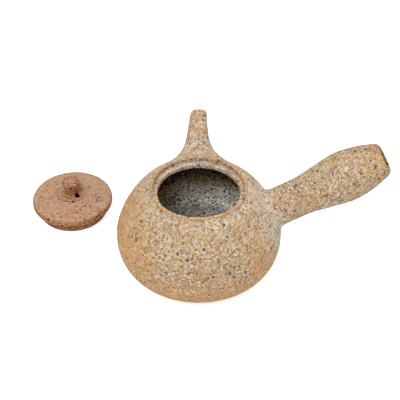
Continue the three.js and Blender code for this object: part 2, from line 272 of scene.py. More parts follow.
class StageSizes(PropertyGroup):
    lens: FloatProperty(name="Lens", description="Focal length", default=90, unit="CAMERA")
    distance: size("Distance", "From the camera to what it looks at", 653 * MM)
    elevation: angle("Elevation", "Height of the camera above the table", 41.25)
    aim: sizes("Aim", "The point that the camera looks at", [0.8, 0, 50.9])
    floor: size("Floor", "Half the width of the floor", 3)
    room: share("Room light", "Strength of the light from all round", 0.67)


GROUPS = {
    "bowl": BowlSizes,
    "spout": SpoutSizes,
    "handle": HandleSizes,
    "lid": LidSizes,
    "pot_clay": PotClay,
    "lid_clay": LidClay,
    "stage": StageSizes,
}


# Rings of clay


def mix(a, b, t):
    return a + (b - a) * t


def shares(steps):
    return [i / steps for i in range(steps + 1)]


def corner(middle, radius, start, end, steps):
    """Points of a profile round a corner, from one angle to another."""
    return [
        (middle[0] + radius * math.cos(a), middle[1] + radius * math.sin(a))
        for a in (mix(start, end, t) for t in shares(steps))
    ]


def start_disc(name, sides, centre, radius, direction=UP):
    """Adds a round disc that faces a direction, and leaves it selected in edit mode."""
    bpy.ops.object.select_all(action="DESELECT")
    turned = direction.to_track_quat("Z", "Y").to_euler()
    bpy.ops.mesh.primitive_circle_add(
        vertices=sides, radius=radius, fill_type="NGON", location=centre, rotation=turned
    )
    piece = bpy.context.object
    piece.name = piece.data.name = name
    bpy.ops.object.mode_set(mode="EDIT")
    return piece


def draw_wall(rings):
    """Extrudes the disc through rings, each a centre and a radius."""
    for (here, radius), (there, next_radius) in zip(rings, rings[1:]):
        bpy.ops.mesh.extrude_region_move(TRANSFORM_OT_translate={"value": there - here})
        bpy.ops.transform.resize(value=(next_radius / radius,) * 3, center_override=there)


def throw(name, sides, profile, centre=Vector(), ring=False):
    """Draws a wall round an upright axis from radii and heights, and closes and softens it."""
    on_axis = 0.1 * MM
    rings = [(centre + UP * height, max(radius, on_axis)) for radius, height in profile]
    piece = start_disc(name, sides, *rings[0])
    draw_wall(rings)
    if ring:
        set_down()
        close_ring(sides)
    else:
        close_up()
    soften(piece)
    return piece


def set_down():
    """Leaves edit mode and brings the object to the origin, with its place in its mesh."""
    bpy.ops.object.mode_set(mode="OBJECT")
    bpy.ops.object.transform_apply(location=True, rotation=True, scale=True)


def close_up():
    """Welds a drawn wall and turns its faces out."""
    bpy.ops.mesh.select_all(action="SELECT")
    bpy.ops.mesh.remove_doubles(threshold=0.001 * MM)
    bpy.ops.mesh.normals_make_consistent(inside=False)
    set_down()
    bpy.ops.object.shade_smooth()


def close_ring(sides):
    """Takes the disc off each end of a drawn wall and bridges its first ring to its last."""
    bpy.ops.object.mode_set(mode="EDIT")
    bpy.ops.mesh.select_mode(type="FACE")
    bpy.ops.mesh.select_face_by_sides(number=sides, type="EQUAL", extend=False)
    bpy.ops.mesh.delete(type="ONLY_FACE")
    bpy.ops.mesh.select_mode(type="EDGE")
    bpy.ops.mesh.select_all(action="DESELECT")
    bpy.ops.mesh.select_non_manifold(extend=False)
    bpy.ops.mesh.bridge_edge_loops()
    bpy.ops.mesh.select_mode(type="VERT")
    close_up()


def apply_modifier(piece, kind, **settings):
    bpy.context.view_layer.objects.active = piece
    modifier = piece.modifiers.new(kind.title(), kind)
    for key, value in settings.items():
        setattr(modifier, key, value)
    bpy.ops.object.modifier_apply(modifier=modifier.name)


def soften(piece):
    """Rounds the drawn rings off between their corners."""
    apply_modifier(piece, "SUBSURF", levels=1, render_levels=1)


def wobble(piece, depth=0.22 * MM, width=17 * MM):
    """Leaves the slight unevenness of hands in a wall, and keeps it off the table."""
    texture = bpy.data.textures.new(piece.name, "CLOUDS")
    texture.noise_scale = width
    texture.noise_depth = 1
    apply_modifier(
        piece, "DISPLACE", texture=texture, texture_coords="LOCAL", strength=depth, mid_level=0.5
    )
    for vertex in piece.data.vertices:
        vertex.co.z = max(vertex.co.z, 0)


def pierce(piece, start, end, radius, sides):
    """Cuts a round hole with a bar from one point to another."""
    bpy.ops.object.select_all(action="DESELECT")
    bpy.ops.mesh.primitive_cylinder_add(
        vertices=sides,
        radius=radius,
        depth=(end - start).length,
        location=(start + end) / 2,
        rotation=(end - start).to_track_quat("Z", "Y").to_euler(),
    )
    tool = bpy.context.object
    apply_modifier(piece, "BOOLEAN", operation="DIFFERENCE", solver="EXACT", object=tool)
    bpy.data.objects.remove(tool)


# The bowl's wall


class Face:
    """One face of the bowl's wall: a belly below its widest place and a shoulder above it."""

    def __init__(self, foot, belly, top, belly_power, shoulder_power):
        self.foot, self.belly, self.top = foot, belly, top
        self.powers = belly_power, shoulder_power

    def half(self, end, power, steps):
        return [
            (
                mix(end[0], self.belly[0], math.sin(t * QUARTER) ** (2 / power)),
                mix(self.belly[1], end[1], math.cos(t * QUARTER) ** (2 / power)),
            )
            for t in shares(steps)
        ]

    def profile(self, steps):
        """Points of radius and height from the foot to the top."""
        lower = self.half(self.foot, self.powers[0], steps)
        upper = self.half(self.top, self.powers[1], steps)
        return lower + upper[::-1][1:]

    def radius(self, height):
        below = height < self.belly[1]
        end, power = (self.foot, self.powers[0]) if below else (self.top, self.powers[1])
        t = min(abs((height - self.belly[1]) / (end[1] - self.belly[1])), 1)
        return mix(end[0], self.belly[0], (1 - t**power) ** (1 / power))


def bowl_faces(bowl):
    """The outer and the inner face of the wall."""
    rim_radius = bowl.gallery_radius + bowl.lip_thickness
    ledge = bowl.rim_height - bowl.gallery_depth
    outer = Face(
        (bowl.foot_radius, 0),
        (bowl.radius, bowl.belly_height),
        (rim_radius + bowl.lip_flare, bowl.rim_height - bowl.lip_rise),
        bowl.belly_power,
        bowl.shoulder_power,
    )
    inner = Face(
        (bowl.foot_radius - bowl.wall, bowl.floor),
        (bowl.radius - bowl.wall, bowl.belly_height),
        (bowl.gallery_radius - bowl.ledge_width, ledge - bowl.throat_depth),
        bowl.belly_power,
        bowl.inner_shoulder_power,
    )
    return outer, inner


def throwing_rings(profile, depth, pitch, phase=0, wander=2):
    """Shallow rounds that fingers leave, between the ends of a profile."""
    last = len(profile) - 1
    marked = []
    for i, (radius, height) in enumerate(profile):
        fade = math.sin(math.pi * i / last)
        wave = math.sin(TURN * height / pitch + wander * math.sin(height / pitch) + phase)
        marked.append((radius + depth * fade * wave, height))
    return marked


def bowl_profile(bowl):
    """From the foot up the outside, over the lip and down to the middle of the floor."""
    outer, inner = bowl_faces(bowl)
    lip = bowl.lip_thickness / 2
    lip_middle = (bowl.gallery_radius + lip, bowl.rim_height - lip)
    neck_radius = bowl.gallery_radius + bowl.lip_thickness + bowl.lip_flare / 4
    shoulder = outer.top[1]
    ledge = bowl.rim_height - bowl.gallery_depth
    mouth = bowl.gallery_radius - bowl.ledge_width
    round_middle = (mouth + bowl.ledge_round, ledge - bowl.ledge_round)
    return [
        *throwing_rings(outer.profile(steps=28), depth=0.05 * MM, pitch=4.3 * MM),
        (mix(outer.top[0], neck_radius, 0.7), shoulder + bowl.lip_flare / 12),
        (neck_radius, shoulder + bowl.lip_flare / 3),
        *corner(lip_middle, lip, 0, math.pi, steps=8),
        *((bowl.gallery_radius, mix(lip_middle[1], ledge, t)) for t in shares(3)[1:-1]),
        *corner((bowl.gallery_radius - lip / 2, ledge + lip / 2), lip / 2, 0, -QUARTER, steps=3),
        *corner(round_middle, bowl.ledge_round, QUARTER, math.pi, steps=5),
        *((mouth, mix(ledge, inner.top[1], t)) for t in (0.5, 0.8)),
        *throwing_rings(inner.profile(steps=22), depth=0.22 * MM, pitch=6.1 * MM)[::-1],
        *((inner.foot[0] * t, bowl.floor) for t in (0.8, 0.4, 0)),
    ]


# Tubes that leave the bowl


class Arm:
    """The axis of a tube that leaves the bowl's own axis, and the outline round it."""

    def __init__(self, tube, bowl):
        flat = Vector((math.cos(tube.heading), math.sin(tube.heading), 0))
        self.start = UP * tube.axis_height
        self.along = flat * math.cos(tube.rise) + UP * math.sin(tube.rise)
        self.side = UP.cross(self.along).normalized()
        self.over = self.along.cross(self.side)
        self.tube = tube
        self.points = list(zip(tube.reaches, tube.radii))
        self.root, self.end = tube.reaches[0], tube.reaches[-1]
        self.outer_face, self.inner_face = bowl_faces(bowl)

    def part(self, reach):
        return min(max((reach - self.root) / (self.end - self.root), 0), 1)

    def outer(self, reach):
        """Radius of the outside, on a smooth line through the points."""
        reach = min(max(reach, self.root), self.end)
        last = len(self.points) - 1
        i = max(k for k in range(last) if self.points[k][0] <= reach)
        a, b = self.points[i], self.points[i + 1]
        before, after = self.points[max(i - 1, 0)], self.points[min(i + 2, last)]
        t = (reach - a[0]) / (b[0] - a[0])
        rise_a = (b[1] - before[1]) / (b[0] - before[0]) * (b[0] - a[0])
        rise_b = (after[1] - a[1]) / (after[0] - a[0]) * (b[0] - a[0])
        bend = t * (1 - t) * ((1 - t) * (rise_a - (b[1] - a[1])) - t * (rise_b - (b[1] - a[1])))
        return mix(a[1], b[1], t) + bend

    def inner(self, reach):
        wall = mix(self.tube.root_wall, self.tube.tip_wall, self.part(reach) ** 2)
        return self.outer(reach) - wall

    def centre(self, reach):
        bent = self.side * self.tube.bow * math.sin(math.pi * self.part(reach))
        return self.start + self.along * reach + bent

    def point(self, reach, radius, turned):
        aside = self.side * radius * math.cos(turned)
        return self.centre(reach) + aside + self.over * radius * math.sin(turned)

    def seat(self, face, radius, turned):
        """How far along the axis a line beside it comes out through a face of the bowl's wall."""
        inside, outside, halvings = 0, 3 * self.root, 30
        for _ in range(halvings):
            middle = (inside + outside) / 2
            place = self.point(middle, radius, turned)
            wall = face.radius(max(place.z, face.foot[1]))
            out = place.z > face.top[1] or math.hypot(place.x, place.y) > wall
            inside, outside = (inside, middle) if out else (middle, outside)
        return inside

    def around(self, place):
        """Reach, radius and turn of a point round this axis."""
        reach = (place - self.start).dot(self.along)
        spoke = place - self.centre(reach)
        return reach, spoke.length, math.atan2(spoke.dot(self.over), spoke.dot(self.side))


def draw_tube(name, arm, steps, sides):
    """Draws a hollow tube out to its round lip and back down its bore, and seats its root."""
    lip = (arm.outer(arm.end) - arm.inner(arm.end)) / 2
    lip_middle = (arm.end - lip, arm.inner(arm.end) + lip)
    out = [mix(arm.root, arm.end - lip, t) for t in shares(steps)]
    profile = [(reach, arm.outer(reach)) for reach in out]
    profile += corner(lip_middle, lip, QUARTER, -QUARTER, steps=8)[1:-1]
    profile += [(reach, arm.inner(reach)) for reach in out[::-1]]
    rings = [(arm.centre(reach), radius) for reach, radius in profile]
    tube = start_disc(name, sides, *rings[0], arm.along)
    draw_wall(rings)
    set_down()
    seat_root(tube, arm, sides)
    return tube


def seat_root(tube, arm, sides):
    """Joins the two ends of a tube's wall at its root and sinks them in the bowl."""
    close_ring(sides)
    sunk = 1.2 * MM
    nearly = 0.01 * MM
    for vertex in tube.data.vertices:
        reach, radius, turned = arm.around(vertex.co)
        seat = arm.seat(arm.outer_face, radius, turned) - sunk
        if reach < seat or abs(reach - arm.root) < nearly:
            vertex.co = arm.point(seat, radius, turned)


def seam_section(arm, turned, steps):
    """The closed outline of a seam on one side of a tube, as points of reach and radius."""
    tube = arm.tube
    under = 0.8 * MM
    edge = 0.03 * MM
    small = 0.1 * MM
    slack_pull, full_pull = 0.62, 0.36

    def wall(radius):
        return arm.seat(arm.outer_face, radius, turned)

    root = arm.outer(arm.root)
    above = max(math.sin(turned), 0) ** 2
    far = root + mix(tube.seam_side_spread, tube.seam_spread, above)
    top = wall(root) + tube.seam_climb
    foot, head = Vector((wall(far), far)), Vector((top, arm.outer(top)))
    over_bowl = Vector((wall(far - small), far - small)) - foot
    down_tube = Vector((top - small, arm.outer(top - small))) - head
    pull = (head - foot).length * mix(slack_pull, full_pull, tube.seam_fullness)
    foot_pull = foot + over_bowl.normalized() * pull
    head_pull = head + down_tube.normalized() * pull
    worked = [bezier([foot, foot_pull, head_pull, head], t) for t in shares(steps)]
    worked[0].x -= edge
    worked[-1].y -= edge
    halfway = mix(root, far, 0.5)
    back = [
        (top, arm.outer(top) - under),
        (mix(top, wall(root), 0.6), arm.outer(top) - under),
        (wall(root) - under, root - under),
        (wall(halfway) - under, halfway),
        (wall(far) - under, far),
    ]
    return worked + [Vector(point) for point in back]


def draw_seam(name, arm, sides, steps=14):
    """Works a coil of clay round a tube's root, level with the tube and the bowl at its edges."""
    sections = [seam_section(arm, TURN * j / sides, steps) for j in range(sides)]
    seam = start_disc(name, sides, arm.centre(arm.root), arm.outer(arm.root), arm.along)
    for _ in sections[0][1:]:
        bpy.ops.mesh.extrude_region_move()
    set_down()
    first, second = (arm.around(vertex.co)[2] for vertex in seam.data.vertices[:2])
    way = 1 if math.sin(second - first) > 0 else -1
    for vertex in seam.data.vertices:
        ring, j = divmod(vertex.index, sides)
        reach, radius = sections[(way * j) % sides][ring]
        vertex.co = arm.point(reach, radius, TURN * way * j / sides)
    close_ring(sides)
    return seam


def bezier(knots, t):
    """A point of the smooth curve that knots pull."""
    while len(knots) > 1:
        knots = [a.lerp(b, t) for a, b in zip(knots, knots[1:])]
    return knots[0].copy()


# The lid


def lid_centre(low=LID_LOW):
    """Middle of the lid, at the foot of one of its pieces."""
    return Vector(((LID_LOW.x + LID_HIGH.x) / 2, (LID_LOW.y + LID_HIGH.y) / 2, low.z))


def lid_pad(lid):
    """Middle of the dome's sphere, its angle at the round edge, and the height of the pad."""
    edge = (lid.radius - lid.edge_round, lid.edge_thickness - lid.edge_round)
    to_edge = lid.crown_radius - lid.edge_round
    middle = edge[1] - math.sqrt(to_edge**2 - edge[0] ** 2)
    pad = middle + math.sqrt(lid.crown_radius**2 - lid.pad_radius**2)
    return edge, middle, math.acos(edge[0] / to_edge), pad


def lid_profile(lid):
    """From the hollow out to the edge, over it, and up the dome to the middle of the pad."""
    edge, middle, dome_angle, pad = lid_pad(lid)
    hollow = (COLLAR_HIGH.x - COLLAR_LOW.x) / 2 - lid.collar_wall
    under = lid.radius - lid.under_round
    groove = lid.pad_radius + lid.groove_width
    groove_angle = math.acos(groove / lid.crown_radius)
    dome = corner((0, middle), lid.crown_radius, dome_angle, groove_angle, steps=18)
    return [
        (lid.pad_radius, pad - lid.wall),
        (mix(lid.pad_radius, hollow, 0.5), mix(pad - lid.wall, 0, 0.5)),
        (hollow, 0),
        *((mix(hollow, under, t), 0) for t in (0.3, 0.8)),
        *corner((under, lid.under_round), lid.under_round, -QUARTER, 0, steps=4),
        *corner(edge, lid.edge_round, 0, dome_angle, steps=8),
        *throwing_rings(dome[1:], depth=0.03 * MM, pitch=1.3 * MM),
        (groove - lid.groove_width * 0.4, pad - lid.groove_depth),
        *((lid.pad_radius * t, pad) for t in (1, 0.85, 0.5, 0)),
    ]


def steam_hole(lid):
    """Middle of the slanted steam hole where it meets the pad, and the way it points."""
    outward = Vector((math.cos(lid.hole_heading), math.sin(lid.hole_heading), 0))
    offset = lid.knob_foot_radius + lid.hole_setback
    mouth = lid_centre() + outward * offset + UP * lid_pad(lid)[3]
    return mouth, UP * math.cos(lid.hole_slant) + outward * math.sin(lid.hole_slant)


def pierce_lid(piece, lid):
    """Cuts the steam hole, which nicks the knob's foot."""
    mouth, way = steam_hole(lid)
    pierce(piece, mouth - way * lid.wall * 2, mouth + way * lid.wall, lid.hole_radius, sides=40)


def hole_shade(place, lid):
    """Painted shade on a point: black on the wall of the steam hole, and 0 away from it."""
    mouth, way = steam_hole(lid)
    black, spare = 4, 0.12 * MM
    return black if (place - mouth).cross(way).length < lid.hole_radius + spare else 0


def collar_profile(lid):
    """From its outside at the top, which is sunk in the lid, down round its edge and back up."""
    top = (COLLAR_HIGH.x - COLLAR_LOW.x) / 2
    depth = COLLAR_HIGH.z - COLLAR_LOW.z
    low = top - lid.collar_taper
    edge = lid.collar_wall / 4
    inside = low - lid.collar_wall
    sunk = 1 * MM
    return [
        (top, depth + sunk),
        (top, depth),
        (mix(top, low, 0.25), mix(depth, 0, 0.3)),
        (mix(top, low, 0.6), mix(depth, 0, 0.65)),
        *corner((low - edge, edge), edge, 0, -QUARTER, steps=4),
        *corner((inside + edge, edge), edge, -QUARTER, -math.pi, steps=4),
        (mix(inside, top - lid.collar_wall, 0.5), depth / 2),
        (top - lid.collar_wall, depth),
        (top - lid.collar_wall, depth + sunk),
    ]


def knob_profile(lid):
    """From its foot, sunk in the pad, up its ridged side and over its dome."""
    height = KNOB_HIGH.z - KNOB_LOW.z + lid.knob_rise
    radius = (KNOB_HIGH.x - KNOB_LOW.x) / 2
    edge = (radius - lid.knob_edge_round, height - lid.knob_top_rise - lid.knob_edge_round)
    flare = 0.7 * MM
    sunk = 0.6 * MM
    foot = lid.knob_foot_radius + flare
    first_ridge = -QUARTER - TURN * 0.64
    side = [
        (mix(lid.knob_foot_radius, radius, t), mix(flare, edge[1], t)) for t in shares(18)[1:-1]
    ]
    dome = [
        (mix(edge[0], 0, t), height - lid.knob_top_rise * (1 - math.sin(t * QUARTER)))
        for t in shares(7)[1:]
    ]
    return [
        (foot, -sunk),
        (foot, 0),
        *corner((foot, flare), flare, -QUARTER, -math.pi, steps=3)[1:],
        *throwing_rings(side, lid.ridge_depth, lid.ridge_pitch, phase=first_ridge, wander=0),
        *corner(edge, lid.knob_edge_round, 0, QUARTER * 0.92, steps=6),
        *dome,
    ]


# The fire's marks, with painted light and shade, painted on each point of a piece


def smooth(t):
    """A share from 0 to 1, eased at both ends."""
    t = min(max(t, 0), 1)
    return t * t * (3 - 2 * t)


def near(distance, width):
    """1 on a line or a point, and 0 at a width from it and beyond."""
    return smooth(1 - distance / width)


def eased(value, start, end):
    """0 at the start, 1 at the end and smooth between them."""
    return smooth((value - start) / (end - start))


def paint(piece, marks):
    """Stores how toasted, pale, smoked and burnt each point is, for the clay's material. The pale
    value also carries a painted highlight, and the smoke and burn values carry painted shade.
    """
    layer = piece.data.color_attributes.new("fire", "FLOAT_COLOR", "POINT")
    for vertex, value in zip(piece.data.vertices, layer.data):
        value.color = marks(vertex.co)


def pale_root(place, arm, width=19 * MM):
    """How near a point is to a seam, where wet clay was worked and wiped."""
    beyond, outside = 3 * MM, 2 * MM
    reach, radius, _ = arm.around(place)
    away = abs(reach - arm.root - beyond)
    aside = max(radius - arm.outer(arm.root) - outside, 0)
    return near(math.hypot(away, aside), width)


# Clay


def plug(tree, socket, value):
    """Links a socket to another node's output, or sets its value."""
    if isinstance(value, bpy.types.NodeSocket):
        tree.links.new(value, socket)
    else:
        socket.default_value = value


def plug_in(tree, node, **sockets):
    """Plugs a node's sockets by their names, whose spaces are written as underscores."""
    for key, value in sockets.items():
        plug(tree, node.inputs[key.replace("_", " ")], value)


def add_node(tree, kind, settings=(), **sockets):
    """Adds a node with its settings and its sockets."""
    node = tree.nodes.new("ShaderNode" + kind)
    for key, value in dict(settings).items():
        setattr(node, key, value)
    plug_in(tree, node, **sockets)
    return node


def maths(tree, operation, *values, kind="Math", output=0):
    """Works out numbers, or vectors where the kind is VectorMath."""
    node = add_node(tree, kind, {"operation": operation})
    for socket, value in zip(node.inputs, values):
        plug(tree, socket, value)
    return node.outputs[output]


def ramp(tree, factor, low, high, to_low=0.0, to_high=1.0):
    """Eases a value from one range to another."""
    rows = {"From_Min": low, "From_Max": high, "To_Min": to_low, "To_Max": to_high}
    settings = {"interpolation_type": "SMOOTHSTEP"}
    return add_node(tree, "MapRange", settings, Value=factor, **rows).outputs[0]


def blend(tree, factor, a, b, way="MIX"):
    """Mixes two colours, each a link or a value."""
    node = add_node(tree, "Mix", {"data_type": "RGBA", "blend_type": way})
    plug(tree, node.inputs[0], factor)
    for socket, value in zip(node.inputs[6:8], (a, b)):
        plug(tree, socket, value if isinstance(value, bpy.types.NodeSocket) else (*value, 1))
    return node.outputs[2]


def scaled(tree, place, width, offset):
    """Places measured in widths, shifted so that layers don't line up."""
    shift = (offset, offset * 0.7, offset * 0.3)
    scale = (1 / width,) * 3
    return add_node(tree, "Mapping", Vector=place, Location=shift, Scale=scale).outputs[0]


def noise_field(tree, place, width, detail, offset, roughness=0.55):
    """Cloudy noise with features of a width in metres."""
    where = scaled(tree, place, width, offset)
    field = add_node(tree, "TexNoise", Vector=where, Scale=1.0, Detail=detail, Roughness=roughness)
    return field.outputs["Fac"]


def cells(tree, place, width, offset, roughness):
    """Cells with ragged edges: the distance to the middle of each, and its three random shares."""
    where = scaled(tree, place, width, offset)
    push = add_node(tree, "TexNoise", Vector=where, Scale=2.5, Detail=2.0).outputs["Color"]
    where = maths(tree, "MULTIPLY_ADD", push, (roughness,) * 3, where, kind="VectorMath")
    found = add_node(tree, "TexVoronoi", Vector=where, Scale=1.0).outputs
    return found["Distance"], *add_node(tree, "SeparateColor", Color=found["Color"]).outputs


def grains(tree, place, width, offset, palette):
    """Packed grains, each in one colour of a palette, which gives where each colour starts."""
    _, lot, luck, _ = cells(tree, place, width, offset, roughness=0.7)
    node = add_node(tree, "ValToRGB", Fac=lot)
    stops = node.color_ramp.elements
    node.color_ramp.interpolation = "CONSTANT"
    while len(stops) < len(palette):
        stops.new(1)
    for stop, (start, shade) in zip(stops, palette):
        stop.position = start
        stop.color = (*shade, 1)
    return node.outputs["Color"], luck


def specks(tree, place, spacing, offset, chosen, smallest, largest, spread=0.0, grown=0.0):
    """Scattered specks: 1 on a speck and 0 off it. Sizes are shares of the spacing."""
    distance, lot, width, luck = cells(tree, place, spacing, offset, roughness=0.3)
    radius = ramp(tree, width, 0.0, 1.0, smallest + spread, largest + spread)
    inside = maths(tree, "SUBTRACT", maths(tree, "ADD", radius, grown), distance)
    solid = ramp(tree, inside, -0.02 - spread, 0.06)
    picked = maths(tree, "LESS_THAN", lot, chosen)
    return maths(tree, "MULTIPLY", solid, picked), luck


def clay(name, colours, smoked=0.0, offset=0.0, speckled=None):
    """Speckled stoneware, with painted light and shade from the painted marks. Smoked greys all of
    it, as the painted marks do in places, and darkens all of it with painted shade.
    """
    speckled = speckled or colours.speckled
    material = bpy.data.materials.new(name)
    material.use_nodes = True
    tree = material.node_tree
    place = add_node(tree, "TexCoord").outputs["Object"]
    fire = add_node(tree, "Attribute", {"attribute_name": "fire"})
    marks = add_node(tree, "SeparateColor", Color=fire.outputs["Color"])
    toast, pale, smoke = marks.outputs
    burn = fire.outputs["Alpha"]

    def times(a, b):
        return maths(tree, "MULTIPLY", a, b)

    # Packed grains, fine ones over coarse ones, with a warm drift through them
    palette = [
        (0.0, colours.brown),
        (0.115, colours.rust),
        (0.27, colours.ash),
        (0.43, colours.tan),
        (0.66, colours.sand),
        (0.87, colours.cream),
    ]
    fine_share, drift_width, drift_share = 0.48, colours.coarse * 18, 0.22
    coarse, rough = grains(tree, place, colours.coarse, offset + 3.1, palette)
    fine, fine_luck = grains(tree, place, colours.fine, offset + 7.7, palette)
    base = blend(tree, fine_share, coarse, fine)
    drift = noise_field(tree, place, drift_width, 2.0, offset + 1.3)
    base = blend(tree, ramp(tree, drift, 0.4, 0.75, 0.0, drift_share), base, colours.rust)

    # Pale where wet clay was wiped and where a highlight is painted on the lip, toasted in patches
    wiped = add_node(tree, "HueSaturation", Color=base, Hue=0.507, Saturation=0.6, Value=1.2)
    base = blend(tree, pale, base, wiped.outputs[0])
    patchy = ramp(tree, fine_luck, 0.1, 0.5, 0.1, 1.0)
    base = blend(tree, times(toast, patchy), base, colours.toast)

    # Greyed and deepened by smoke, dimmed where smoke passes 1 as painted shade on the bowl's
    # floor, then burnt and charred, which also paints shade
    creamed, smoked_shade = 0.14, 1.7
    greyed = maths(tree, "MINIMUM", maths(tree, "MAXIMUM", smoke, smoked), 1.0)
    base = blend(tree, times(greyed, creamed), base, colours.cream)
    deep = add_node(tree, "Gamma", Color=base, Gamma=1.45).outputs[0]
    floor_shade_value = ramp(tree, smoke, 1.0, 2.0, 3.9, 1.85)
    bright = add_node(tree, "HueSaturation", Color=deep, Saturation=0.85, Value=floor_shade_value)
    faded = blend(tree, 1.0, bright.outputs[0], colours.smoke, "MULTIPLY")
    base = blend(tree, greyed, base, faded)
    burnt = blend(tree, 1.0, base, colours.burn, "MULTIPLY")
    charred_and_shaded = times(burn, ramp(tree, rough, 0.2, 0.8, 0.6, 1.4))
    # Smoked pieces are charred all over: painted shade for the strainer, which sits in the dark
    # under the shoulder
    charred_and_shaded = maths(tree, "MAXIMUM", charred_and_shaded, smoked_shade * smoked)
    base = blend(tree, charred_and_shaded, base, burnt)

    # Iron specks, the large ones with a rusty halo, and the small ones closer where the burn
    # value, which also holds painted shade, is high
    haloed, halo_share, halo_width = 0.14, 0.45, 0.14
    small_size, large_size = (0.1, 0.24), (0.1, 0.38)
    pitted = ramp(tree, burn, 0.0, 0.15, 0.4, 0.8)
    grown = ramp(tree, burn, 0.0, 0.15, 0.0, 0.13)
    where = place, colours.small_speck, offset + 5.9
    small, small_luck = specks(tree, *where, pitted, *small_size, grown=grown)
    where = place, colours.speck, offset + 9.2
    large, luck = specks(tree, *where, speckled, *large_size)
    halo, _ = specks(tree, *where, haloed, *large_size, spread=halo_width)
    base = blend(tree, times(halo, halo_share), base, colours.toast)
    dark = maths(tree, "MAXIMUM", greyed, ramp(tree, burn, 0.03, 0.14))
    iron = blend(tree, dark, colours.iron, colours.soot)
    spot = blend(tree, ramp(tree, small_luck, 0.3, 0.7), colours.brown, iron)
    base = blend(tree, times(small, ramp(tree, pitted, 0.4, 0.75, 0.65, 0.9)), base, spot)
    base = blend(tree, times(large, ramp(tree, luck, 0.0, 1.0, 0.5, 1.0)), base, iron)
    # Black where the charring is deepest, which is painted shade: in the steam hole, high inside
    # the bowl, on the strainer and in the darkest creases
    base = blend(tree, ramp(tree, charred_and_shaded, 1.2, 2.0), base, colours.soot)

    # Grit, standing grains and sunk specks
    grit = noise_field(tree, place, colours.fine * 0.5, 4.0, offset + 2.4, roughness=0.7)
    height = maths(tree, "ADD", times(rough, 0.35), times(grit, 0.6))
    height = maths(tree, "SUBTRACT", height, times(large, 0.3))
    bump = add_node(tree, "Bump", Height=height, Strength=0.6, Distance=0.2 * MM)
    dull = ramp(tree, grit, 0.3, 0.7, 0.75, 0.95)
    shader = tree.nodes["Principled BSDF"]
    plug_in(tree, shader, Base_Color=base, Roughness=dull, Normal=bump.outputs[0])
    plug_in(tree, shader, Specular_IOR_Level=0.25)
    return material


def give(piece, material):
    piece.data.materials.clear()
    piece.data.materials.append(material)


def dress(piece, material, body, node):
    """Gives a piece its clay and its body, and hides the CAD node that it stands for."""
    give(piece, material)
    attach(piece, body)
    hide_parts(node)


def clay_once(name, colours, **settings):
    """The named clay, made the first time that a piece asks for it."""
    return bpy.data.materials.get(name) or clay(name, colours, **settings)


def fire_pot(context, piece, marks, node):
    """Paints a piece of the pot and gives it the pot's clay."""
    paint(piece, marks)
    material = clay_once("buff stoneware", context.scene.teapot_pot_clay)
    dress(piece, material, "pot", node)


def fire_lid(context, piece, marks, node, name="brown stoneware", offset=11.0, speckled=None):
    """Paints a piece of the lid and gives it the lid's clay, or one of its own."""
    paint(piece, marks)
    colours = context.scene.teapot_lid_clay
    material = clay_once(name, colours, offset=offset, speckled=speckled)
    dress(piece, material, "lid", node)


def arm_of(context, name):
    """The axis and the outline of the spout or the handle."""
    return Arm(getattr(context.scene, "teapot_" + name), context.scene.teapot_bowl)


def work_seam(context, name, paled=1.0, least=0.0):
    """Draws the seam round a tube's root, pale where it was wiped."""
    arm = arm_of(context, name)
    piece = draw_seam(name + "_fillet", arm, sides=112)
    wobble(piece, depth=0.15 * MM)

    def marks(place):
        return 0, max(paled * pale_root(place, arm), least), 0, 0

    fire_pot(context, piece, marks, name + "_seam")


# Operators, one for each piece


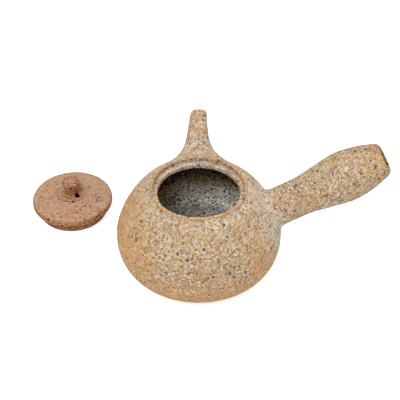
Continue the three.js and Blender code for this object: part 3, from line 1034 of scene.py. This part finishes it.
class TEAPOT_OT_bowl(Operator):
    """Throws the bowl with its lip, its gallery and its foot"""

    bl_idname = "teapot.bowl"
    bl_label = "Throw Bowl"

    def execute(self, context):
        bowl = context.scene.teapot_bowl
        spout = arm_of(context, "spout")
        piece = throw("bowl", bowl.sides, bowl_profile(bowl))
        spare = bowl.wall * 2
        start = spout.centre(spout.seat(spout.inner_face, 0, 0) - spare)
        end = spout.centre(spout.seat(spout.outer_face, 0, 0) + spare)
        pierce(piece, start, end, bowl.port_radius, sides=48)
        wobble(piece)
        fire_pot(context, piece, self.marks(bowl, spout, arm_of(context, "handle")), "pot_body")
        return {"FINISHED"}

    def marks(self, bowl, spout, handle):
        """How toasted, pale, smoked and burnt each point of the bowl is."""
        outer, inner = bowl_faces(bowl)
        rim = bowl.rim_height
        ledge = rim - bowl.gallery_depth
        shaded = ledge - 2.8 * MM
        neck = Vector(outer.top)
        edge = Vector((bowl.gallery_radius + 0.2 * MM, rim))

        def inside(place):
            """Grey, with painted light and shade: greyer where the light falls, darker away from
            it and towards the shoulder, and fully grey but dimmed on the floor.
            """
            lit = eased(place.x, -29 * MM, -9 * MM)
            low = eased(place.z, 10.5 * MM, 6.5 * MM)
            # Painted shade under the shoulder, blackest near the top
            soot = 1.9 * eased(place.z, 17 * MM, 36 * MM) + 2.4 * eased(place.z, 32 * MM, 40 * MM)
            return 0, 0, mix(0.5, 1, lit) + 0.95 * low, 0.15 + 0.7 * (1 - lit) + soot

        def gallery(place, toast, painted_highlight):
            """Pale, most of all on the ledge, a little toasted at its sides and slightly darker on
            its wall, keeping the painted highlight on the lip.
            """
            on_ledge = eased(place.z, ledge + 0.9 * MM, ledge + 0.2 * MM)
            toast = max(toast, 0.28 * eased(abs(place.x), 8 * MM, 26 * MM))
            return toast, max(painted_highlight, mix(0.7, 1, on_ledge)), 0, mix(0.13, 0.07, on_ledge)

        def outside(place, here, toast, painted_highlight):
            """Warm low down and at the sides, and pale round the roots and the neck and on the
            lip's painted highlight.
            """
            at_spout, at_handle = pale_root(place, spout), pale_root(place, handle, 26 * MM)
            at_neck = near(max((here - neck).length - 1 * MM, 0), 13 * MM)
            high = eased(place.z, 43 * MM, 54 * MM)
            pale = max(painted_highlight, 0.6 * at_spout, at_handle, 0.4 * at_neck, 0.16 * high)
            low = eased(place.z, 34 * MM, 8 * MM)
            aside = eased(abs(place.x), 20 * MM, 50 * MM)
            return max(toast, max(0.6 * low, 0.54 * aside) * (1 - pale)), pale, 0, 0

        def marks(place):
            radius = math.hypot(place.x, place.y)
            here = Vector((radius, place.z))
            height = min(max(place.z, bowl.floor), inner.top[1])
            within = radius < inner.radius(height) + bowl.wall / 2
            if within and bowl.floor / 2 < place.z < shaded:
                return inside(place)
            front = eased(place.y, 20 * MM, -10 * MM)
            crest = Vector((bowl.gallery_radius + bowl.lip_thickness * mix(0.4, 1.1, front), rim))
            crest.y -= front * 0.6 * MM
            toast = mix(0.8, 1, front) * near((here - crest).length, mix(1.15, 1.45, front) * MM)
            # A painted highlight along the inner edge of the lip, at the front
            painted_highlight = front * near((here - edge).length, 0.9 * MM)
            if radius < crest.x and place.z < crest.y - 1 * MM:
                return gallery(place, toast, painted_highlight)
            return outside(place, here, toast, painted_highlight)

        return marks


class TEAPOT_OT_spout(Operator):
    """Draws the spout and seats its flared root on the bowl"""

    bl_idname = "teapot.spout"
    bl_label = "Draw Spout"

    def execute(self, context):
        spout = arm_of(context, "spout")
        piece = draw_tube("spout_tube", spout, steps=26, sides=64)
        soften(piece)
        wobble(piece, depth=0.15 * MM)

        def marks(place):
            at_tip = near(spout.end - spout.around(place)[0], 1.8 * MM)
            return max(0.8 * at_tip, 0.1), max(0.5 * pale_root(place, spout), 0.18), 0, 0

        fire_pot(context, piece, marks, "spout")
        return {"FINISHED"}


class TEAPOT_OT_spout_seam(Operator):
    """Works the seam round the spout's root"""

    bl_idname = "teapot.spout_seam"
    bl_label = "Work Spout Seam"

    def execute(self, context):
        work_seam(context, "spout", paled=0.55, least=0.12)
        return {"FINISHED"}


class TEAPOT_OT_strainer(Operator):
    """Finishes the pierced cap behind the spout"""

    bl_idname = "teapot.strainer"
    bl_label = "Finish Strainer"

    def execute(self, context):
        colours = context.scene.teapot_pot_clay
        # Grey like the inside of the bowl, and darkened all over as painted shade, as it sits in
        # the shade under the shoulder
        smoked = clay_once("smoked stoneware", colours, smoked=1.0, offset=5.0)
        give(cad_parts["strainer"], smoked)
        return {"FINISHED"}


class TEAPOT_OT_handle(Operator):
    """Draws the hollow handle and seats its root on the bowl"""

    bl_idname = "teapot.handle"
    bl_label = "Draw Handle"

    def execute(self, context):
        handle = arm_of(context, "handle")
        piece = draw_tube("handle_tube", handle, steps=44, sides=80)
        soften(piece)
        wobble(piece)

        def marks(place):
            reach, radius, _ = handle.around(place)
            # Painted shade inside the bore: its wall is darkened
            within = radius < handle.inner(reach) + 0.5 * MM and reach < handle.end - 3 * MM
            far = eased(reach, 112 * MM, 132 * MM)
            toast = max(0.6 * near(handle.end - reach, 1.9 * MM), 0.15 * far)
            return toast, max(pale_root(place, handle), 0.09), 0, 0.9 if within else 0.1 * far

        fire_pot(context, piece, marks, "handle")
        return {"FINISHED"}


class TEAPOT_OT_handle_seam(Operator):
    """Works the seam round the handle's root"""

    bl_idname = "teapot.handle_seam"
    bl_label = "Work Handle Seam"

    def execute(self, context):
        work_seam(context, "handle")
        return {"FINISHED"}


class TEAPOT_OT_lid(Operator):
    """Throws the lid's domed disc and pierces its steam hole"""

    bl_idname = "teapot.lid"
    bl_label = "Throw Lid"

    def execute(self, context):
        lid = context.scene.teapot_lid
        centre = lid_centre()
        piece = throw("lid_dome", lid.sides, lid_profile(lid), centre)
        pierce_lid(piece, lid)
        wobble(piece, depth=0.15 * MM)

        def marks(place):
            radius = math.hypot(place.x - centre.x, place.y - centre.y)
            # Painted shade: darker on the underside, in the groove round the pad, most at the
            # front, round the knob's foot and black in the steam hole; the rim is also darker
            under = eased(place.z, centre.z + 1.6 * MM, centre.z + 0.4 * MM)
            edge = 0.55 * eased(radius, lid.radius - 1.6 * MM, lid.radius)
            groove = near(abs(radius - lid.pad_radius - lid.groove_width * 0.5), 0.8 * MM)
            groove *= mix(0.2, 0.8, eased(centre.y - place.y, 3 * MM, 8 * MM))
            foot = 0.6 * near(max(radius - lid.knob_foot_radius, 0), 4.5 * MM)
            toast = 0.5 * near(abs(radius - lid.radius), 1.5 * MM)
            return toast, 0, 0, max(under, edge, groove, foot, hole_shade(place, lid))

        fire_lid(context, piece, marks, "lid_disc")
        return {"FINISHED"}


class TEAPOT_OT_collar(Operator):
    """Throws the collar under the lid"""

    bl_idname = "teapot.collar"
    bl_label = "Throw Collar"

    def execute(self, context):
        lid = context.scene.teapot_lid
        centre = lid_centre(COLLAR_LOW)
        piece = throw("lid_flange", lid.sides, collar_profile(lid), centre, ring=True)
        wobble(piece, depth=0.1 * MM)
        top = COLLAR_HIGH.z

        # Painted shade under the lid's disc, darker towards the top of the collar
        def marks(place):
            return 0, 0, 0, mix(0.55, 1, eased(place.z, top - 6 * MM, top - 2 * MM))

        fire_lid(context, piece, marks, "lid_collar")
        return {"FINISHED"}


class TEAPOT_OT_knob(Operator):
    """Throws the knob"""

    bl_idname = "teapot.knob"
    bl_label = "Throw Knob"

    def execute(self, context):
        lid = context.scene.teapot_lid
        centre = lid_centre(KNOB_LOW)
        piece = throw("lid_button", lid.sides // 2, knob_profile(lid), centre)
        pierce_lid(piece, lid)
        wobble(piece, depth=0.1 * MM, width=6 * MM)
        edge = KNOB_HIGH.z + lid.knob_rise - lid.knob_top_rise
        widest = (KNOB_HIGH.x - KNOB_LOW.x) / 2

        def marks(place):
            # Painted shade: the side darker than the dome, darkest in the hollows between the
            # ridges, and black in the steam hole; the dome is a little darker of its own
            side = eased(place.z, edge + 0.4 * MM, edge - 1.2 * MM)
            radius = math.hypot(place.x - centre.x, place.y - centre.y)
            climbed = (place.z - centre.z) / (edge - lid.knob_edge_round - centre.z)
            drawn = mix(lid.knob_foot_radius, widest, climbed)
            hollow = eased(drawn - radius, -lid.ridge_depth, lid.ridge_depth)
            burnt = mix(0.3, mix(0.05, 1.1, hollow), side)
            return 0.4 * side, 0, 0, max(burnt, hole_shade(place, lid))

        fire_lid(context, piece, marks, "lid_knob", "knob stoneware", offset=14.6, speckled=0.95)
        return {"FINISHED"}


class TEAPOT_OT_stage(Operator):
    """Sets the pale floor, the soft light and the camera"""

    bl_idname = "teapot.stage"
    bl_label = "Set Stage"

    def execute(self, context):
        stage = context.scene.teapot_stage
        self.add_floor(stage)
        self.add_light("key light", Vector((-0.6, -1.19, 2.29)), width=1.05, power=34.1)
        self.add_light("fill light", Vector((0.9, 0.3, 1.0)), width=1.4, power=3.7)
        self.add_world(context, stage)
        self.add_camera(context, stage)
        return {"FINISHED"}

    def add_floor(self, stage):
        """Glows to white for the camera, except under the lid, so that the steam hole is dark."""
        bpy.ops.object.select_all(action="DESELECT")
        bpy.ops.mesh.primitive_plane_add(size=stage.floor * 2, location=(0, 0, -0.05 * MM))
        floor = bpy.context.object
        floor.name = "floor"
        material = bpy.data.materials.new("white floor")
        material.use_nodes = True
        tree = material.node_tree
        path = add_node(tree, "LightPath").outputs
        seen = maths(tree, "MAXIMUM", path["Is Camera Ray"], path["Is Glossy Ray"])
        seen = maths(tree, "MAXIMUM", seen, path["Is Transmission Ray"])
        place = add_node(tree, "TexCoord").outputs["Object"]
        under_lid = (*lid_centre().xy, 0)
        away = maths(tree, "DISTANCE", place, under_lid, kind="VectorMath", output="Value")
        glow = maths(tree, "MULTIPLY", seen, ramp(tree, away, 16 * MM, 21 * MM, to_high=0.63))
        shader = tree.nodes["Principled BSDF"]
        plug_in(tree, shader, Base_Color=(0.86, 0.9, 0.94, 1), Roughness=0.9)
        plug_in(tree, shader, Emission_Color=(1, 1, 1, 1), Emission_Strength=glow)
        give(floor, material)

    def add_light(self, name, place, width, power):
        light = bpy.data.lights.new(name, "AREA")
        light.size = width
        light.energy = power
        self.stand(name, light, place, -place)

    def add_world(self, context, stage):
        world = bpy.data.worlds.new("soft room")
        world.use_nodes = True
        tree = world.node_tree
        seen = add_node(tree, "LightPath").outputs["Is Camera Ray"]
        strength = ramp(tree, seen, 0.0, 1.0, to_low=stage.room)
        plug_in(tree, tree.nodes["Background"], Color=(1, 1, 1, 1), Strength=strength)
        context.scene.world = world

    def add_camera(self, context, stage):
        data = bpy.data.cameras.new("camera")
        data.lens = stage.lens
        data.sensor_width = 36
        data.clip_start, data.clip_end = 0.05, 20
        away = Vector((0, -math.cos(stage.elevation), math.sin(stage.elevation)))
        place = Vector(stage.aim) + away * stage.distance
        context.scene.camera = self.stand("camera", data, place, -away)
        context.scene.view_settings.view_transform = "Standard"

    def stand(self, name, data, place, facing):
        """Stands a light or the camera in its place."""
        thing = bpy.data.objects.new(name, data)
        thing.location = place
        thing.rotation_euler = facing.to_track_quat("-Z", "Y").to_euler()
        bpy.context.collection.objects.link(thing)
        return thing


OPERATORS = [
    TEAPOT_OT_bowl,
    TEAPOT_OT_spout,
    TEAPOT_OT_spout_seam,
    TEAPOT_OT_strainer,
    TEAPOT_OT_handle,
    TEAPOT_OT_handle_seam,
    TEAPOT_OT_lid,
    TEAPOT_OT_collar,
    TEAPOT_OT_knob,
    TEAPOT_OT_stage,
]


class TEAPOT_PT_pieces(Panel):
    """Lists the steps in the order of making"""

    bl_idname = "TEAPOT_PT_pieces"
    bl_label = "Teapot"
    bl_space_type = "VIEW_3D"
    bl_region_type = "UI"
    bl_category = "Teapot"

    def draw(self, context):
        for step in OPERATORS:
            self.layout.operator(step.bl_idname)


def register():
    for item in [*GROUPS.values(), *OPERATORS, TEAPOT_PT_pieces]:
        bpy.utils.register_class(item)
    for name, sizes_or_clay in GROUPS.items():
        setattr(bpy.types.Scene, "teapot_" + name, PointerProperty(type=sizes_or_clay))


def unregister():
    for name in GROUPS:
        delattr(bpy.types.Scene, "teapot_" + name)
    for item in [TEAPOT_PT_pieces, *OPERATORS[::-1], *reversed(GROUPS.values())]:
        bpy.utils.unregister_class(item)


def main():
    register()
    for step in OPERATORS:
        getattr(bpy.ops.teapot, step.bl_idname.split(".")[1])()


if __name__ == "__main__":
    main()
